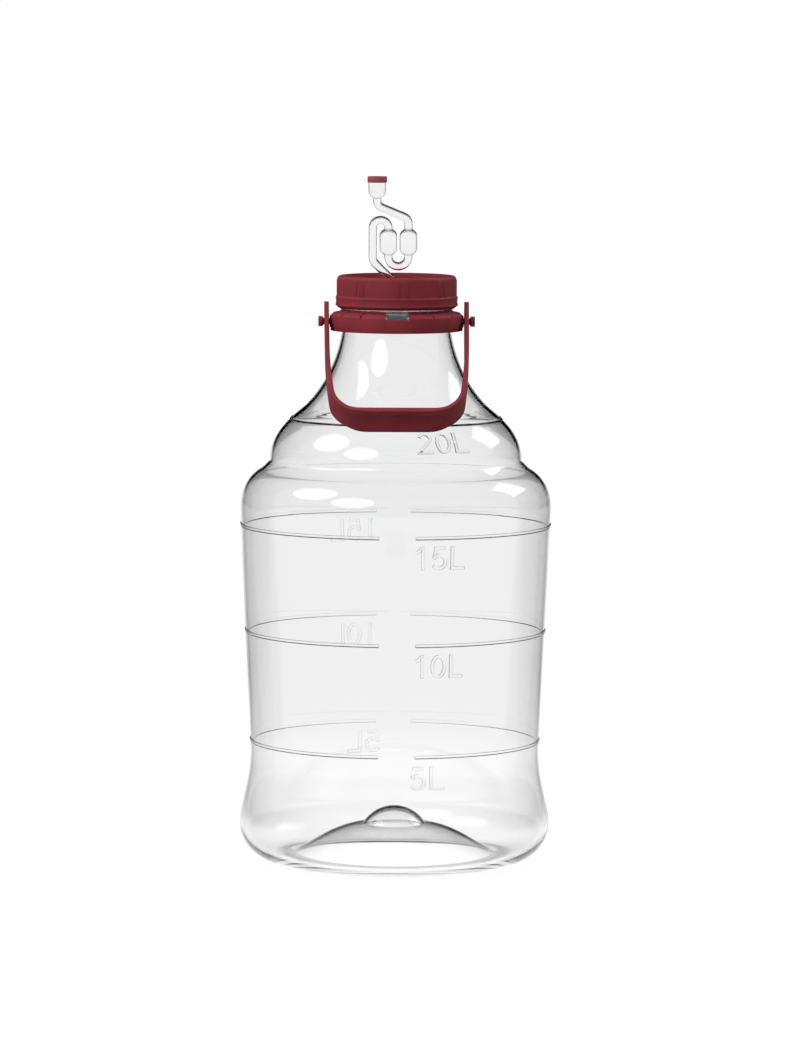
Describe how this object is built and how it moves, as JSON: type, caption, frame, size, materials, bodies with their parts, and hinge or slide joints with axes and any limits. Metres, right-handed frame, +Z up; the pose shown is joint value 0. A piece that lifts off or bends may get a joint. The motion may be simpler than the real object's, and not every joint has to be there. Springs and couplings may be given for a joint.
{
  "type": "plastic fermenter",
  "caption": "Clear wide-mouth plastic fermenter bottle with graduation rings, a screw lid, a bail handle on a neck collar and an S-shaped airlock.",
  "frame": {"origin": "centre of the bottle's standing ring, on the surface it stands on", "axes": "+Z up along the bottle's axis, -Y to the front, where the handle hangs, +X to the right seen from the front"},
  "size_m": [0.2728, 0.2712, 0.6002],
  "materials": {
    "clear_bottle": "clear, blown",
    "maroon_plastic": "satin, moulded",
    "gasket_foam": "matte",
    "black_rubber": "matte",
    "clear_tube": "clear, moulded",
    "red_cap": "satin, moulded"
  },
  "bodies": {
    "bottle": {"bottle": "clear_bottle", "neck_collar": "maroon_plastic"},
    "handle": {"bail_handle": "maroon_plastic"},
    "lid_seal": {"lid_gasket": "gasket_foam"},
    "lid": {"lid": "maroon_plastic"},
    "grommet": {"airlock_grommet": "black_rubber"},
    "airlock": {"airlock": "clear_tube"},
    "cap": {"airlock_cap": "red_cap"}
  },
  "joints": [
    {"name": "handle_swing", "type": "hinge", "parent": "bottle", "child": "handle", "pos_m": [0, 0, 0.4735], "axis": [-1, 0, 0], "range_deg": [0, 105]},
    {"name": "lid_lift", "type": "slide", "parent": "bottle", "child": "lid_seal", "axis": [0, 0, 1], "range_m": [0, 0.018]},
    {"name": "lid_turn", "type": "hinge", "parent": "lid_seal", "child": "lid", "pos_m": [0, 0, 0.5], "axis": [0, 0, 1], "range_deg": [0, 1080]},
    {"name": "airlock_swivel", "type": "hinge", "parent": "lid", "child": "grommet", "pos_m": [0, 0, 0.4956], "axis": [0, 0, 1], "continuous": true},
    {"name": "airlock_pull", "type": "slide", "parent": "grommet", "child": "airlock", "axis": [0, 0, 1], "range_m": [0, 0.036]},
    {"name": "cap_lift", "type": "slide", "parent": "airlock", "child": "cap", "axis": [0, 0, 1], "range_m": [0, 0.012]}
  ],
  "couplings": [
    {"joint": "lid_lift", "follows": "lid_turn", "m_per_rad": 0.00095493}
  ]
}
